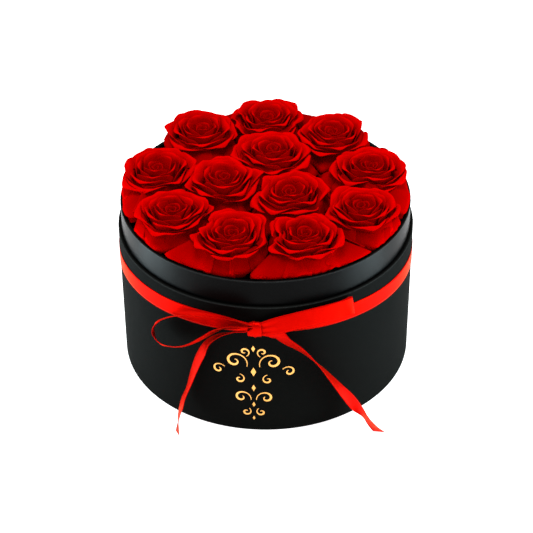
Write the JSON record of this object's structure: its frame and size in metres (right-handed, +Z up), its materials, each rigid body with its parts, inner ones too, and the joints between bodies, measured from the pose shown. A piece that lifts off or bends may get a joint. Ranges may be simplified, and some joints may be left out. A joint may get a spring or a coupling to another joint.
{
  "type": "flower box",
  "caption": "Round covered hat box with a raised neck, holding open red roses set in foam, with a satin ribbon tied in a bow round the wall.",
  "frame": {"origin": "centre of the flat underside, on the surface the box stands on", "axes": "+Z up along the box's axis, out of its mouth; -Y is the front, where the bow and the foil ornament are; +X is to the right seen from the front"},
  "size_m": [0.2108, 0.2282, 0.153],
  "materials": {
    "wall_paper": "matte",
    "base_paper": "matte",
    "neck_paper": "satin",
    "greyboard": "matte",
    "foam": "matte",
    "satin_ribbon": "satin",
    "gold_foil": "satin",
    "petals": "matte",
    "calyx": "matte",
    "stem": "matte"
  },
  "bodies": {
    "box": {"outer_wrap": "wall_paper", "outer_tube": "greyboard", "base_cover": "base_paper", "base_board": "greyboard", "neck_tube": "greyboard", "neck_wrap": "neck_paper", "foam_block": "foam", "ribbon_band": "satin_ribbon", "bow_knot": "satin_ribbon", "bow_loop_left": "satin_ribbon", "bow_loop_right": "satin_ribbon", "ribbon_tail_left": "satin_ribbon", "ribbon_tail_right": "satin_ribbon", "foil_ornament": "gold_foil"},
    "rose_01": {"rose_01_bloom": "petals", "rose_01_calyx": "calyx", "rose_01_stem": "stem"},
    "rose_02": {"rose_02_bloom": "petals", "rose_02_calyx": "calyx", "rose_02_stem": "stem"},
    "rose_03": {"rose_03_bloom": "petals", "rose_03_calyx": "calyx", "rose_03_stem": "stem"},
    "rose_04": {"rose_04_bloom": "petals", "rose_04_calyx": "calyx", "rose_04_stem": "stem"},
    "rose_05": {"rose_05_bloom": "petals", "rose_05_calyx": "calyx", "rose_05_stem": "stem"},
    "rose_06": {"rose_06_bloom": "petals", "rose_06_calyx": "calyx", "rose_06_stem": "stem"},
    "rose_07": {"rose_07_bloom": "petals", "rose_07_calyx": "calyx", "rose_07_stem": "stem"},
    "rose_08": {"rose_08_bloom": "petals", "rose_08_calyx": "calyx", "rose_08_stem": "stem"},
    "rose_09": {"rose_09_bloom": "petals", "rose_09_calyx": "calyx", "rose_09_stem": "stem"},
    "rose_10": {"rose_10_bloom": "petals", "rose_10_calyx": "calyx", "rose_10_stem": "stem"},
    "rose_11": {"rose_11_bloom": "petals", "rose_11_calyx": "calyx", "rose_11_stem": "stem"},
    "rose_12": {"rose_12_bloom": "petals", "rose_12_calyx": "calyx", "rose_12_stem": "stem"}
  },
  "joints": [
    {"name": "rose_01_lift", "type": "slide", "parent": "box", "child": "rose_01", "axis": [0, 0, 1], "range_m": [0, 0.06]},
    {"name": "rose_02_lift", "type": "slide", "parent": "box", "child": "rose_02", "axis": [0, 0, 1], "range_m": [0, 0.06]},
    {"name": "rose_03_lift", "type": "slide", "parent": "box", "child": "rose_03", "axis": [0, 0, 1], "range_m": [0, 0.06]},
    {"name": "rose_04_lift", "type": "slide", "parent": "box", "child": "rose_04", "axis": [0, 0, 1], "range_m": [0, 0.06]},
    {"name": "rose_05_lift", "type": "slide", "parent": "box", "child": "rose_05", "axis": [0, 0, 1], "range_m": [0, 0.06]},
    {"name": "rose_06_lift", "type": "slide", "parent": "box", "child": "rose_06", "axis": [0, 0, 1], "range_m": [0, 0.06]},
    {"name": "rose_07_lift", "type": "slide", "parent": "box", "child": "rose_07", "axis": [0, 0, 1], "range_m": [0, 0.06]},
    {"name": "rose_08_lift", "type": "slide", "parent": "box", "child": "rose_08", "axis": [0, 0, 1], "range_m": [0, 0.06]},
    {"name": "rose_09_lift", "type": "slide", "parent": "box", "child": "rose_09", "axis": [0, 0, 1], "range_m": [0, 0.06]},
    {"name": "rose_10_lift", "type": "slide", "parent": "box", "child": "rose_10", "axis": [0, 0, 1], "range_m": [0, 0.06]},
    {"name": "rose_11_lift", "type": "slide", "parent": "box", "child": "rose_11", "axis": [0, 0, 1], "range_m": [0, 0.06]},
    {"name": "rose_12_lift", "type": "slide", "parent": "box", "child": "rose_12", "axis": [0, 0, 1], "range_m": [0, 0.06]}
  ]
}
